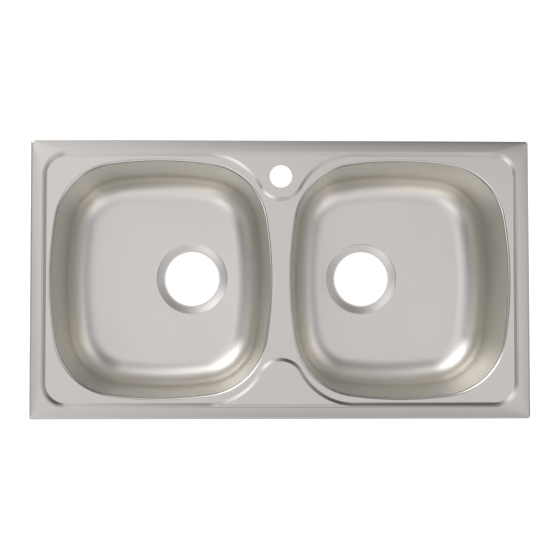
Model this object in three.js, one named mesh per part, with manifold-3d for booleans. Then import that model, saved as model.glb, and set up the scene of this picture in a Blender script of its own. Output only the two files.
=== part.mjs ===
// Inset double bowl kitchen sink: a pressed stainless deck with two deep-drawn bowls welded under it,
// foam seals, sound pads and eight pivoting fixing clips. Millimetres, +Z up, X along the long side,
// +Y towards the wall. The origin is under the middle, level with the undersides of the waste seats.
import * as THREE from 'three';
import { mergeVertices } from 'three/addons/utils/BufferGeometryUtils.js';
import Module from 'manifold-3d';

const wasm = await Module();
wasm.setup();

// ---- Driving dimensions ----

const sheet = 0.8;             // stainless sheet of the deck and the bowls
const weldGap = 0.3;           // gap left where two pieces are welded, stuck or riveted together
const runningGap = 0.3;        // clearance round pieces that move

const deckLength = 780;
const deckDepth = 435;
const cutOutMargin = 10;       // the worktop's cut-out lies this far inside the deck's outline

const lipCornerRadius = 4.4;   // the outline's corners
const lipRollRadius = 3;       // the rolled edge
const lipRollEnd = THREE.MathUtils.degToRad(95.4);   // where the roll runs out into the flange
const lipHeight = 5;           // crest above the lip's lower edge
const flangeFall = 1.2;        // how far the flange falls from its crest to the rolled edge
const crestInset = 17.6;       // outline to the crest
const crestWidth = 0.9;
const ledgeStep = 0.5;         // crest down to the ledges
const ledgeStepWidth = 1.1;

const basinStep = 2.2;         // ledges down to the bowl surrounds
const basinStepWidth = 6.4;
const stepBend = 0.27;         // share of the step's width that each of its rounded ends takes
const stepSwell = 0.13;        // how far those ends stand off the straight slope, as a share of its height
const basinInset = 26.2;       // outline to the foot of that step
const basinCornerRadius = 30;
const ledgeCentreInset = 56.7; // outline to the tap hole, and to the centre of the ledge's round end
const ledgeEndRadius = 39;
const ledgeFlareRadius = 90;
const tapHoleRadius = 17.5;

const dividerWidth = 33.2;     // surround between the two bowls' rims
const sideSurround = 6;        // foot of the step to a bowl's rim, at the sides
const endSurround = 6.7;       // the same at the front and the rear
const rimSideRadius = 600;
const rimEndRadius = 550;
const rimCornerRadius = 100;
const collarRadius = 5;        // rounded edge of each opening
const collarDepth = 7;         // deck surface to the weld

const bowlDraft = THREE.MathUtils.degToRad(6);
const bowlDepth = 153;         // deck surface to the floor at the waste
const bowlFloorRadius = 46;
const floorFall = 1.5;         // floor's edge down to the waste recess
const wasteFloorMargin = 9;    // floor's edge on the divider's side to the waste recess
const wasteOffset = 5;         // wastes behind the bowls' centres
const wasteRecessRadius = 59;
const wasteRecessDepth = 4;
const wasteRecessEdge = 1;     // width of the steep edge round the recess
const wasteRecessEdgeDrop = 0.9;
const wasteSeatRadius = 47.5;
const wasteHoleRadius = 45;

const gasketInset = 3.2;
const gasketSetback = 0.6;     // edge of the cut-out to the foam
const gasketThickness = 3;
const gasketDrop = 0.5;        // how far the foam stands out below the lip

const padDepth = 160;
const padThickness = 2;
const padCornerRadius = 14;
const padClearance = 7;        // recess to pad
const padFloorMargin = 14.6;   // pad to the floor's outer edge

const clipSheet = 1.2;         // bracket's sheet
const clipWidth = 14;
const clipBendRadius = 2;
const webInner = 15.5;         // pivot to the bracket's inner end
const webOuter = 4.5;
const earRadius = 4.5;
const earRoot = 8.5;           // pivot to the inner root of an ear
const trimAllowance = 1;       // how far a blank runs past the shape it is trimmed to
const pivotDrop = 6.5;         // bracket's web down to the pivot
const rivetRadius = 2;
const rivetHeadRadius = 3.2;
const rivetHeadHeight = 1.2;
const rivetHeadFlat = 1.8;     // radius of the flat on the head
const rivetTailRadius = 2.9;
const rivetTailFlat = 2;
const rivetTailHeight = 0.7;   // pressed tail, and the straight edge left under the head's dome
const clawSheet = 2;
const clawBendInside = 1.2;    // how far the claw's bend is cut back on its inner and outer side
const clawBendOutside = 0.4;
const cheekSheet = 1.2;
const cheekRadius = 4.2;
const cheekStart = THREE.MathUtils.degToRad(-18);   // the cheek's rounded edge, from the leg to the arm
const cheekEnd = THREE.MathUtils.degToRad(202);
const cheekAlongArm = 6.7;     // pivot to the cheek's end on the arm
const cheekAlongLeg = 8.4;
const clawPinOffset = 3.3;     // pivot to the middle of the arm's sheet
const armLength = 13;
const armTilt = THREE.MathUtils.degToRad(14);   // how far the arm's end stands up at rest
const legTilt = THREE.MathUtils.degToRad(18);   // how far the leg leans outwards at rest
const legLength = 40;          // pivot to the tips of the teeth
const legFreeLength = 25;      // length of the wide end
const legEndWidth = 17;
const toothCount = 4;
const toothDepth = 2.4;
const screwRadius = 2;
const screwOffset = 9;         // pivot to the screw's axis
const screwLength = 16;
const screwNoseLength = 1;     // tapered nose that bears on the bracket
const screwNoseFlat = 0.9;     // radius of its flat end
const screwHeadRadius = 3.6;
const screwHeadFlat = 2.9;     // radius of the flat on the head
const screwHeadEdge = 0.8;     // height of the head's rounded edge
const screwHeadHeight = 2.6;
const slotWidth = 1;
const slotDepth = 1.3;
const roundSides = 10;          // facets round the small turned pieces

const cornerClipInset = 33;    // outline to the pivots of the clips on the short sides
const cornerClipSetback = 60.5; // end of a short side to the clip near it
const ledgeClipInset = 25.5;   // outline to the pivots of the clips on the long sides
const ledgeClipOffset = 42;    // middle of a long side to its clips

// ---- Levels and places that follow ----

const halfLength = deckLength / 2;
const halfDepth = deckDepth / 2;
const seatTop = sheet;
const floorAtWaste = seatTop + wasteRecessDepth;
const basinTop = floorAtWaste + bowlDepth;
const ledgeTop = basinTop + basinStep;
const crestTop = ledgeTop + ledgeStep;
const ledgeInset = crestInset + crestWidth + ledgeStepWidth;
const stepOverlap = basinInset - basinStepWidth - ledgeInset;
const ledgeCentreY = halfDepth - ledgeCentreInset;

const rimHalfLength = (halfLength - basinInset - sideSurround - dividerWidth / 2) / 2;
const rimHalfDepth = halfDepth - basinInset - endSurround;
const bowlCentreX = dividerWidth / 2 + rimHalfLength;

// The wall leans in from the weld to the large bottom radius, which turns it into the floor
const floorEdgeHeight = floorAtWaste + floorFall;
const wallTop = basinTop - collarDepth - weldGap;
const wallFoot = floorEdgeHeight + bowlFloorRadius * (1 - Math.sin(bowlDraft));
const wallSlope = Math.tan(bowlDraft);
const wallInset = (height) => wallSlope * (basinTop - height);
const floorInset = wallInset(wallFoot) + bowlFloorRadius * Math.cos(bowlDraft);
const floorInnerX = bowlCentreX - rimHalfLength + floorInset;
const floorOuterX = bowlCentreX + rimHalfLength - floorInset;
const wasteX = floorInnerX + wasteFloorMargin + wasteRecessRadius;

// ---- Steel, foam and bitumen finishes ----

const satinSteel = () => new THREE.MeshStandardMaterial({ color: 0xc6c2bd, roughness: 0.34, metalness: 1 });
const brushedSteel = () => new THREE.MeshStandardMaterial({ color: 0xbdb9b3, roughness: 0.42, metalness: 1 });
const zincSteel = () => new THREE.MeshStandardMaterial({ color: 0xb4b8bb, roughness: 0.38, metalness: 1 });
const foam = () => new THREE.MeshStandardMaterial({ color: 0x2b2b2c, roughness: 0.95, metalness: 0 });
const bitumen = () => new THREE.MeshStandardMaterial({ color: 0x3a3a3b, roughness: 0.9, metalness: 0 });

// ---- Outlines: closed, anticlockwise, with the same points at every inset ----

// Points on an arc, both ends included
function arc(centreX, centreY, radius, startAngle, endAngle, segments) {
  const points = [];
  for (let i = 0; i <= segments; i += 1) {
    const angle = startAngle + ((endAngle - startAngle) * i) / segments;
    points.push(new THREE.Vector2(centreX + radius * Math.cos(angle), centreY + radius * Math.sin(angle)));
  }
  return points;
}

// Mirrors the outline's first quarter into the other three and drops the points that then lie twice
function fourQuarters(quarter, centreX = 0) {
  const placed = (xSign, ySign) => quarter.map((p) => new THREE.Vector2(xSign * p.x, ySign * p.y));
  const all = [
    ...placed(1, 1),
    ...placed(-1, 1).reverse(),
    ...placed(-1, -1),
    ...placed(1, -1).reverse(),
  ];
  const unique = all.filter((p, i) => p.distanceTo(all[(i + all.length - 1) % all.length]) > 1e-6);
  return unique.map((p) => new THREE.Vector2(p.x + centreX, p.y));
}

// The deck's outline. Its corners open out from the rolled lip to the crest
function deckOutline(inset) {
  const crestRadius = basinCornerRadius + basinStepWidth + stepOverlap + ledgeInset - crestInset;
  const opening = THREE.MathUtils.clamp((inset - lipRollRadius) / (crestInset - lipRollRadius), 0, 1);
  const beyondCrest = Math.max(inset - crestInset, 0);
  const radius = THREE.MathUtils.lerp(lipCornerRadius, crestRadius, opening) - beyondCrest;
  const cornerX = halfLength - inset - radius;
  const cornerY = halfDepth - inset - radius;
  return fourQuarters(arc(cornerX, cornerY, radius, 0, Math.PI / 2, 6));
}

// The foot of the step round both bowls. It dips in round the tap ledge and the front island;
// offset widens it towards the ledges
function basinOutline(offset) {
  const edgeX = halfLength - basinInset;
  const edgeY = halfDepth - basinInset;
  const flareY = edgeY - ledgeFlareRadius;
  const reach = ledgeFlareRadius + ledgeEndRadius;
  const flareX = Math.sqrt(reach ** 2 - (ledgeCentreY - flareY) ** 2);
  const meeting = Math.atan2(ledgeCentreY - flareY, -flareX);
  const corner = arc(
    edgeX - basinCornerRadius, edgeY - basinCornerRadius, basinCornerRadius + offset, 0, Math.PI / 2, 6,
  );
  const flare = arc(flareX, flareY, ledgeFlareRadius + offset, Math.PI / 2, meeting, 7);
  const end = arc(0, ledgeCentreY, ledgeEndRadius - offset, meeting - Math.PI, -Math.PI / 2, 6);
  return fourQuarters([...corner, ...flare, ...end.slice(1)]);
}

// A bowl's rim: four slightly bulging sides with large round corners, tangent to each other
function rimOutline(centreX, inset) {
  const sideX = rimHalfLength - rimSideRadius;
  const endY = rimHalfDepth - rimEndRadius;
  const toSide = rimSideRadius - rimCornerRadius;
  const toEnd = rimEndRadius - rimCornerRadius;
  const between = Math.hypot(sideX, endY);
  const along = (toSide ** 2 - toEnd ** 2 + between ** 2) / (2 * between);
  const across = Math.sqrt(toSide ** 2 - along ** 2);
  const direction = new THREE.Vector2(-sideX, endY).divideScalar(between);
  const cornerX = sideX + along * direction.x - across * direction.y;
  const cornerY = along * direction.y + across * direction.x;
  const sideAngle = Math.atan2(cornerY, cornerX - sideX);
  const endAngle = Math.atan2(cornerY - endY, cornerX);
  const side = arc(sideX, 0, rimSideRadius - inset, 0, sideAngle, 2);
  const corner = arc(cornerX, cornerY, rimCornerRadius - inset, sideAngle, endAngle, 8);
  const end = arc(0, endY, rimEndRadius - inset, endAngle, Math.PI / 2, 2);
  return fourQuarters([...side, ...corner.slice(1), ...end.slice(1)], centreX);
}

// A round hole with as many points as the outline about it
function holeOutline(centre, radius, around) {
  return arc(centre.x, centre.y, radius, 0, Math.PI * 2, around.length).slice(0, -1);
}

// ---- Pressed sheet: an upper and a lower skin, both built from loops ----

// The lower side of a section through the sheet. Sections run inwards (x) and give heights (y);
// before and after are the directions of what joins their ends
function sectionBelow(section, before, after) {
  const leftOf = (d) => new THREE.Vector2(-d.y, d.x);
  const step = (i) => section[i + 1].clone().sub(section[i]).normalize();
  return section.map((point, i) => {
    const incoming = i > 0 ? step(i - 1) : before ?? step(0);
    const outgoing = i < section.length - 1 ? step(i) : after ?? step(i - 1);
    const normal = leftOf(incoming).add(leftOf(outgoing));
    const mitre = normal.multiplyScalar(1 / (1 + incoming.dot(outgoing)));
    return point.clone().addScaledVector(mitre, -sheet);
  });
}

class Skin {
  constructor() {
    this.points = [];
    this.triangles = [];
  }

  loop(outline, heights) {
    const first = this.points.length;
    outline.forEach((p, i) => {
      const height = Array.isArray(heights) ? heights[i] : heights;
      this.points.push(new THREE.Vector3(p.x, p.y, height));
    });
    return outline.map((_, i) => first + i);
  }

  face(a, b, c, flipped) {
    this.triangles.push(...(flipped ? [a, c, b] : [a, b, c]));
  }

  // Faces up between an outer and an inner loop
  strip(outer, inner, flipped = false) {
    outer.forEach((a, i) => {
      const next = (i + 1) % outer.length;
      this.face(a, outer[next], inner[next], flipped);
      this.face(a, inner[next], inner[i], flipped);
    });
  }

  strips(loops, flipped) {
    loops.slice(1).forEach((loop, i) => this.strip(loops[i], loop, flipped));
  }

  // A flat face between an outline and the holes in it
  fill(outer, holes, flipped) {
    const flat = (loop) => loop.map((i) => new THREE.Vector2(this.points[i].x, this.points[i].y));
    const indices = [outer, ...holes].flat();
    const corners = flat(indices);
    THREE.ShapeUtils.triangulateShape(flat(outer), holes.map(flat)).forEach(([a, b, c]) => {
      const clockwise = THREE.ShapeUtils.isClockWise([corners[a], corners[b], corners[c]]);
      this.face(indices[a], indices[b], indices[c], clockwise !== flipped);
    });
  }

  geometry() {
    const geometry = new THREE.BufferGeometry().setFromPoints(this.points);
    geometry.setIndex(this.triangles);
    geometry.computeVertexNormals();
    return geometry;
  }
}

// Builds both sides of a sheet with one function and closes its outer edge and its holes.
// buildSide adds one side's faces and gives its open loops, the outer one first
function pressedSheet(buildSide) {
  const skin = new Skin();
  const upper = buildSide(skin, false);
  const lower = buildSide(skin, true);
  upper.forEach((loop, i) => skin.strip(loop, lower[i], i === 0));
  return skin.geometry();
}

const inwards = new THREE.Vector2(1, 0);
const lerpPoints = (a, b, t) => a.clone().lerp(b, t);

// ---- Deck ----

const lipCentreY = crestTop - flangeFall - lipRollRadius;
const lipSection = [
  new THREE.Vector2(0, crestTop - lipHeight),
  ...arc(lipRollRadius, lipCentreY, lipRollRadius, Math.PI, lipRollEnd, 3),
  new THREE.Vector2(crestInset, crestTop),
  new THREE.Vector2(crestInset + crestWidth, crestTop),
  new THREE.Vector2(ledgeInset, ledgeTop),
];

// The step is an S: a rounded shoulder, a slope and a rounded foot
const stepShoulder = new THREE.Vector2(-basinStepWidth, ledgeTop);
const stepFoot = new THREE.Vector2(0, basinTop);
const stepSection = [
  stepShoulder,
  lerpPoints(stepShoulder, stepFoot, stepBend).add(new THREE.Vector2(0, basinStep * stepSwell)),
  lerpPoints(stepFoot, stepShoulder, stepBend).add(new THREE.Vector2(0, -basinStep * stepSwell)),
  stepFoot,
];

// The collar's rounded edge runs into the line of the bowl's wall
const collarRollEnd = basinTop - collarRadius * (1 - Math.sin(bowlDraft));
const collarCentre = new THREE.Vector2(
  wallInset(collarRollEnd) - collarRadius * Math.cos(bowlDraft), basinTop - collarRadius,
);
const collarSection = [
  ...arc(collarCentre.x, collarCentre.y, collarRadius, Math.PI / 2, bowlDraft, 2),
  new THREE.Vector2(wallInset(basinTop - collarDepth), basinTop - collarDepth),
];

const rimCentres = [-bowlCentreX, bowlCentreX];
const tapHoleCentre = new THREE.Vector2(0, ledgeCentreY);

function buildDeck() {
  const collarEnd = new THREE.Vector2(wallSlope, -1).normalize();
  const lower = {
    lip: sectionBelow(lipSection, null, inwards),
    step: sectionBelow(stepSection, inwards, inwards),
    collar: sectionBelow(collarSection, inwards, collarEnd),
  };
  const upper = { lip: lipSection, step: stepSection, collar: collarSection };
  const tapHole = arc(tapHoleCentre.x, tapHoleCentre.y, tapHoleRadius, 0, Math.PI * 2, 24).slice(1);
  return pressedSheet((skin, below) => {
    const side = below ? lower : upper;
    const lip = side.lip.map((p) => skin.loop(deckOutline(p.x), p.y));
    const step = side.step.map((p) => skin.loop(basinOutline(-p.x), p.y));
    const tap = skin.loop(tapHole, below ? ledgeTop - sheet : ledgeTop);
    const collars = rimCentres.map((x) => side.collar.map((p) => skin.loop(rimOutline(x, p.x), p.y)));
    skin.strips(lip, below);
    skin.fill(lip.at(-1), [step[0], tap], below);
    skin.strips(step, below);
    skin.fill(step.at(-1), collars.map((loops) => loops[0]), below);
    collars.forEach((loops) => skin.strips(loops, below));
    return [lip[0], tap, ...collars.map((loops) => loops.at(-1))];
  });
}

// ---- Bowls ----

const bowlSection = [
  new THREE.Vector2(wallInset(wallTop), wallTop),
  ...arc(
    floorInset, floorEdgeHeight + bowlFloorRadius, bowlFloorRadius,
    Math.PI + bowlDraft, Math.PI * 1.5, 5,
  ),
];

// Waste recess, outwards from its axis at x = 0
const recessSection = [
  new THREE.Vector2(-wasteRecessRadius, floorAtWaste),
  new THREE.Vector2(-wasteRecessRadius + wasteRecessEdge, floorAtWaste - wasteRecessEdgeDrop),
  new THREE.Vector2(-wasteSeatRadius, seatTop),
  new THREE.Vector2(-wasteHoleRadius, seatTop),
];

function buildBowl(side) {
  const centreX = side * bowlCentreX;
  const waste = new THREE.Vector2(side * wasteX, wasteOffset);
  const lower = {
    wall: sectionBelow(bowlSection, null, inwards),
    recess: sectionBelow(recessSection, inwards, inwards),
  };
  const upper = { wall: bowlSection, recess: recessSection };
  return pressedSheet((skin, below) => {
    const { wall, recess } = below ? lower : upper;
    const floorEdge = rimOutline(centreX, wall.at(-1).x);
    const loops = [
      ...wall.map((p) => skin.loop(rimOutline(centreX, p.x), p.y)),
      ...recess.map((p) => skin.loop(holeOutline(waste, -p.x, floorEdge), p.y)),
    ];
    skin.strips(loops, below);
    return [loops[0], loops.at(-1)];
  });
}

// ---- Foam strips and sound pads ----

const gasketWidth = cutOutMargin - gasketInset - gasketSetback;
const padInnerX = wasteX + wasteRecessRadius + padClearance;
const padLength = floorOuterX - padFloorMargin - padInnerX;

function buildGasket(length) {
  return new THREE.BoxGeometry(length, gasketWidth, gasketThickness);
}

function buildSoundPad() {
  const x = padLength / 2 - padCornerRadius;
  const y = padDepth / 2 - padCornerRadius;
  const outline = fourQuarters(arc(x, y, padCornerRadius, 0, Math.PI / 2, 4));
  return new THREE.ExtrudeGeometry(new THREE.Shape(outline), { depth: padThickness, bevelEnabled: false });
}

// ---- Fixing clips ----
// Each clip has its own frame: X outwards over the worktop, Y along the sink's edge, and its origin on the
// pivot. The screw's tip bears on the bracket's web, so running it in swings the leg out and up.

const webTop = pivotDrop + clipSheet;
const earInside = clipWidth / 2 - clipSheet;
const clawWidth = 2 * (earInside - runningGap);
const pinHoleRadius = rivetRadius + runningGap;

// How far the screw's tip stands from the foot of its axis when it touches the web
const reachAt = (tilt) => (pivotDrop + screwOffset * Math.sin(tilt)) / Math.cos(tilt);
const meanReach = (reachAt(armTilt) + reachAt(-armTilt)) / 2;
const tipGap = runningGap + meanReach - reachAt(0);

function toSolid(geometry) {
  const bare = geometry.clone();
  bare.deleteAttribute('normal');
  bare.deleteAttribute('uv');
  const merged = mergeVertices(bare, 1e-5);
  return new wasm.Manifold(new wasm.Mesh({
    numProp: 3,
    vertProperties: new Float32Array(merged.attributes.position.array),
    triVerts: new Uint32Array(merged.index.array),
  }));
}

function toGeometry(solid) {
  const mesh = solid.getMesh();
  const geometry = new THREE.BufferGeometry();
  geometry.setAttribute('position', new THREE.BufferAttribute(new Float32Array(mesh.vertProperties), 3));
  geometry.setIndex(new THREE.BufferAttribute(new Uint32Array(mesh.triVerts), 1));
  geometry.computeVertexNormals();
  return geometry;
}

// Extrudes a side view (X, Z) by a width centred on Y
function acrossY(shape, width, centreY = 0) {
  const geometry = new THREE.ExtrudeGeometry(shape, { depth: width, bevelEnabled: false });
  geometry.translate(0, 0, -width / 2);
  geometry.rotateX(Math.PI / 2);
  return geometry.translate(0, centreY, 0);
}

// Extrudes an end view (Y, Z) between two places along X
function alongX(shape, start, end) {
  const geometry = new THREE.ExtrudeGeometry(shape, { depth: end - start, bevelEnabled: false });
  const axes = new THREE.Matrix4().makeBasis(
    new THREE.Vector3(0, 1, 0), new THREE.Vector3(0, 0, 1), new THREE.Vector3(1, 0, 0),
  );
  return geometry.applyMatrix4(axes).translate(start, 0, 0);
}

function pinAcross(radius) {
  return toSolid(new THREE.CylinderGeometry(radius, radius, clipWidth * 2, roundSides));
}

// Folded U: the end view of the fold, trimmed to the side view of the web and its ears
function buildBracket() {
  const half = clipWidth / 2;
  const low = -earRadius - trimAllowance;
  const outerY = half - clipBendRadius;
  const outerZ = webTop - clipBendRadius;
  const innerRadius = clipBendRadius - clipSheet;
  const fold = new THREE.Shape([
    new THREE.Vector2(half, low),
    ...arc(outerY, outerZ, clipBendRadius, 0, Math.PI / 2, 3),
    ...arc(-outerY, outerZ, clipBendRadius, Math.PI / 2, Math.PI, 3),
    new THREE.Vector2(-half, low),
    new THREE.Vector2(-earInside, low),
    ...arc(-outerY, outerZ, innerRadius, Math.PI, Math.PI / 2, 2),
    ...arc(outerY, outerZ, innerRadius, Math.PI / 2, 0, 2),
    new THREE.Vector2(earInside, low),
  ]);
  const sideView = new THREE.Shape([
    new THREE.Vector2(-webInner, webTop + trimAllowance),
    new THREE.Vector2(-webInner, pivotDrop),
    new THREE.Vector2(-earRoot, pivotDrop),
    ...arc(0, 0, earRadius, Math.PI, Math.PI * 2, 6),
    new THREE.Vector2(webOuter, webTop + trimAllowance),
  ]);
  const folded = toSolid(alongX(fold, -webInner - trimAllowance, webOuter + trimAllowance));
  const trimmed = folded.intersect(toSolid(acrossY(sideView, clipWidth + 2 * trimAllowance)));
  return toGeometry(trimmed.subtract(pinAcross(pinHoleRadius)));
}

// Rivet through both ears, turned about Y: a domed head at one end and a pressed tail at the other
function buildRivet() {
  const shoulder = clipWidth / 2 + weldGap;
  return new THREE.LatheGeometry([
    new THREE.Vector2(0, -shoulder - rivetHeadHeight),
    new THREE.Vector2(rivetHeadFlat, -shoulder - rivetHeadHeight),
    new THREE.Vector2(rivetHeadRadius, -shoulder - rivetTailHeight),
    new THREE.Vector2(rivetHeadRadius, -shoulder),
    new THREE.Vector2(rivetRadius, -shoulder),
    new THREE.Vector2(rivetRadius, shoulder),
    new THREE.Vector2(rivetTailRadius, shoulder),
    new THREE.Vector2(rivetTailFlat, shoulder + rivetTailHeight),
    new THREE.Vector2(0, shoulder + rivetTailHeight),
  ], roundSides);
}

// Directions in the side view, and the claw's fold as a strip between two parallel lines
const armDirection = new THREE.Vector2(-Math.cos(armTilt), Math.sin(armTilt));
const armBelow = new THREE.Vector2(-Math.sin(armTilt), -Math.cos(armTilt));
const legDirection = new THREE.Vector2(Math.sin(legTilt), -Math.cos(legTilt));
const legOutside = new THREE.Vector2(Math.cos(legTilt), Math.sin(legTilt));

// Where the line beside the arm meets the line beside the leg
function foldCorner(belowArm, outsideLeg) {
  const start = armBelow.clone().multiplyScalar(belowArm);
  const towards = legOutside.clone().multiplyScalar(outsideLeg).sub(start);
  const along = towards.dot(legOutside) / armDirection.dot(legOutside);
  return start.addScaledVector(armDirection, along);
}

function buildClaw() {
  const near = clawPinOffset - clawSheet / 2;
  const far = clawPinOffset + clawSheet / 2;
  const half = clawSheet / 2;
  const onArm = (below) => armBelow.clone().multiplyScalar(below).addScaledVector(armDirection, armLength);
  const onLeg = (outside, along) => (
    legOutside.clone().multiplyScalar(outside).addScaledVector(legDirection, along)
  );
  const legStart = legLength - legFreeLength;
  const outerCorner = foldCorner(far, -half);
  const fold = new THREE.Shape([
    onArm(near),
    foldCorner(near, half).addScaledVector(armDirection, clawBendInside),
    foldCorner(near, half).addScaledVector(legDirection, clawBendInside),
    onLeg(half, legStart + half),
    onLeg(-half, legStart + half),
    outerCorner.clone().addScaledVector(legDirection, clawBendOutside),
    outerCorner.clone().addScaledVector(armDirection, clawBendOutside),
    onArm(far),
  ]);
  const cheek = new THREE.Shape([
    ...arc(0, 0, cheekRadius, cheekStart, cheekEnd, 6),
    armBelow.clone().multiplyScalar(clawPinOffset).addScaledVector(armDirection, cheekAlongArm),
    onLeg(0, cheekAlongLeg),
    onLeg(half, cheekAlongLeg),
  ]);
  const cheekY = (clawWidth - cheekSheet) / 2;
  let claw = toSolid(acrossY(fold, clawWidth));
  [cheekY, -cheekY].forEach((y) => {
    claw = claw.add(toSolid(acrossY(cheek, cheekSheet, y)));
  });
  claw = claw.add(toSolid(buildLegEnd(legStart)));
  claw = claw.subtract(pinAcross(pinHoleRadius));
  const screwHole = new THREE.CylinderGeometry(
    screwRadius + runningGap, screwRadius + runningGap, far * 4, roundSides,
  );
  claw = claw.subtract(toSolid(onScrewAxis(screwHole)));
  return toGeometry(claw);
}

// The leg's wide end, cut to teeth across its tip: drawn flat, then laid along the leg
function buildLegEnd(start) {
  const half = legEndWidth / 2;
  const pitch = legEndWidth / toothCount;
  const outline = [
    new THREE.Vector2(start, -clawWidth / 2),
    new THREE.Vector2(start + (half - clawWidth / 2), -half),
    new THREE.Vector2(legLength - toothDepth, -half),
  ];
  for (let tooth = 0; tooth < toothCount; tooth += 1) {
    const y = -half + pitch * tooth;
    outline.push(new THREE.Vector2(legLength, y + pitch / 2));
    outline.push(new THREE.Vector2(legLength - toothDepth, y + pitch));
  }
  outline.push(new THREE.Vector2(start + (half - clawWidth / 2), half));
  outline.push(new THREE.Vector2(start, clawWidth / 2));
  const extrusion = { depth: clawSheet, bevelEnabled: false };
  const plate = new THREE.ExtrudeGeometry(new THREE.Shape(outline), extrusion);
  const axes = new THREE.Matrix4().makeBasis(
    new THREE.Vector3(legDirection.x, 0, legDirection.y),
    new THREE.Vector3(0, 1, 0),
    new THREE.Vector3(legOutside.x, 0, legOutside.y),
  );
  return plate.translate(0, 0, -clawSheet / 2).applyMatrix4(axes);
}

// Lays a shape made along Y on the screw's axis, with its origin at the foot of that axis
function onScrewAxis(geometry) {
  const foot = armDirection.clone().multiplyScalar(screwOffset);
  const axis = new THREE.Vector3(-armBelow.x, 0, -armBelow.y);
  const turn = new THREE.Quaternion().setFromUnitVectors(new THREE.Vector3(0, 1, 0), axis);
  return geometry.applyQuaternion(turn).translate(foot.x, 0, foot.y);
}

// Slotted screw with its head down, so that it is driven from under the worktop
function buildScrew() {
  const tip = reachAt(-armTilt) - tipGap;
  const seat = tip - screwLength;
  const headEnd = seat - screwHeadHeight;
  const turned = toSolid(new THREE.LatheGeometry([
    new THREE.Vector2(0, headEnd),
    new THREE.Vector2(screwHeadFlat, headEnd),
    new THREE.Vector2(screwHeadRadius, headEnd + screwHeadEdge),
    new THREE.Vector2(screwHeadRadius, seat),
    new THREE.Vector2(screwRadius, seat),
    new THREE.Vector2(screwRadius, tip - screwNoseLength),
    new THREE.Vector2(screwNoseFlat, tip),
    new THREE.Vector2(0, tip),
  ], roundSides));
  const slot = new THREE.BoxGeometry(slotWidth, slotDepth * 2, screwHeadRadius * 3);
  const cut = turned.subtract(toSolid(slot.translate(0, headEnd, 0)));
  return onScrewAxis(toGeometry(cut));
}

// ---- Assembly ----

const sink = new THREE.Group();

function addPiece(parent, name, geometry, material) {
  const mesh = new THREE.Mesh(geometry, material);
  mesh.name = name;
  parent.add(mesh);
  return mesh;
}

addPiece(sink, 'deck', buildDeck(), satinSteel());
addPiece(sink, 'bowl_left', buildBowl(-1), brushedSteel());
addPiece(sink, 'bowl_right', buildBowl(1), brushedSteel());

// Four strips round the lip, the short ones between the long ones
const gasketMiddle = gasketInset + gasketWidth / 2;
const gasketHeight = crestTop - lipHeight - gasketDrop + gasketThickness / 2;
const longGasket = deckLength - 2 * gasketInset;
const shortGasket = deckDepth - 2 * (gasketInset + gasketWidth + weldGap);
[
  { name: 'gasket_front', length: longGasket, x: 0, y: -halfDepth + gasketMiddle, turn: 0 },
  { name: 'gasket_rear', length: longGasket, x: 0, y: halfDepth - gasketMiddle, turn: 0 },
  { name: 'gasket_left', length: shortGasket, x: -halfLength + gasketMiddle, y: 0, turn: Math.PI / 2 },
  { name: 'gasket_right', length: shortGasket, x: halfLength - gasketMiddle, y: 0, turn: Math.PI / 2 },
].forEach(({ name, length, x, y, turn }) => {
  const gasket = addPiece(sink, name, buildGasket(length), foam());
  gasket.position.set(x, y, gasketHeight);
  gasket.rotation.z = turn;
});

// Each pad lies under the floor beside the waste, away from the middle
[['sound_pad_left', -1], ['sound_pad_right', 1]].forEach(([name, side]) => {
  const pad = addPiece(sink, name, buildSoundPad(), bitumen());
  pad.position.set(side * (padInnerX + padLength / 2), 0, floorAtWaste - sheet - weldGap - padThickness);
});

// Two clips on each side, facing outwards: under the corners of the surrounds on the short sides, and
// under the tap ledge and the front island on the long sides
const cornerX = halfLength - cornerClipInset;
const cornerY = halfDepth - cornerClipSetback;
const ledgeY = halfDepth - ledgeClipInset;
[
  { x: cornerX, y: -cornerY, turn: 0, deckTop: basinTop },
  { x: cornerX, y: cornerY, turn: 0, deckTop: basinTop },
  { x: ledgeClipOffset, y: ledgeY, turn: Math.PI / 2, deckTop: ledgeTop },
  { x: -ledgeClipOffset, y: ledgeY, turn: Math.PI / 2, deckTop: ledgeTop },
  { x: -cornerX, y: cornerY, turn: Math.PI, deckTop: basinTop },
  { x: -cornerX, y: -cornerY, turn: Math.PI, deckTop: basinTop },
  { x: -ledgeClipOffset, y: -ledgeY, turn: -Math.PI / 2, deckTop: ledgeTop },
  { x: ledgeClipOffset, y: -ledgeY, turn: -Math.PI / 2, deckTop: ledgeTop },
].forEach(({ x, y, turn, deckTop }, i) => {
  const clip = new THREE.Group();
  clip.position.set(x, y, deckTop - sheet - weldGap - webTop);
  clip.rotation.z = turn;
  addPiece(clip, `clip_bracket_${i + 1}`, buildBracket(), zincSteel());
  addPiece(clip, `clip_rivet_${i + 1}`, buildRivet(), zincSteel());
  addPiece(clip, `clip_claw_${i + 1}`, buildClaw(), zincSteel());
  addPiece(clip, `clip_screw_${i + 1}`, buildScrew(), zincSteel());
  sink.add(clip);
});

export default sink;
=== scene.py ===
import math

import bmesh
import bpy
from mathutils import Matrix, Vector, noise
from mathutils.geometry import tessellate_polygon


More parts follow.
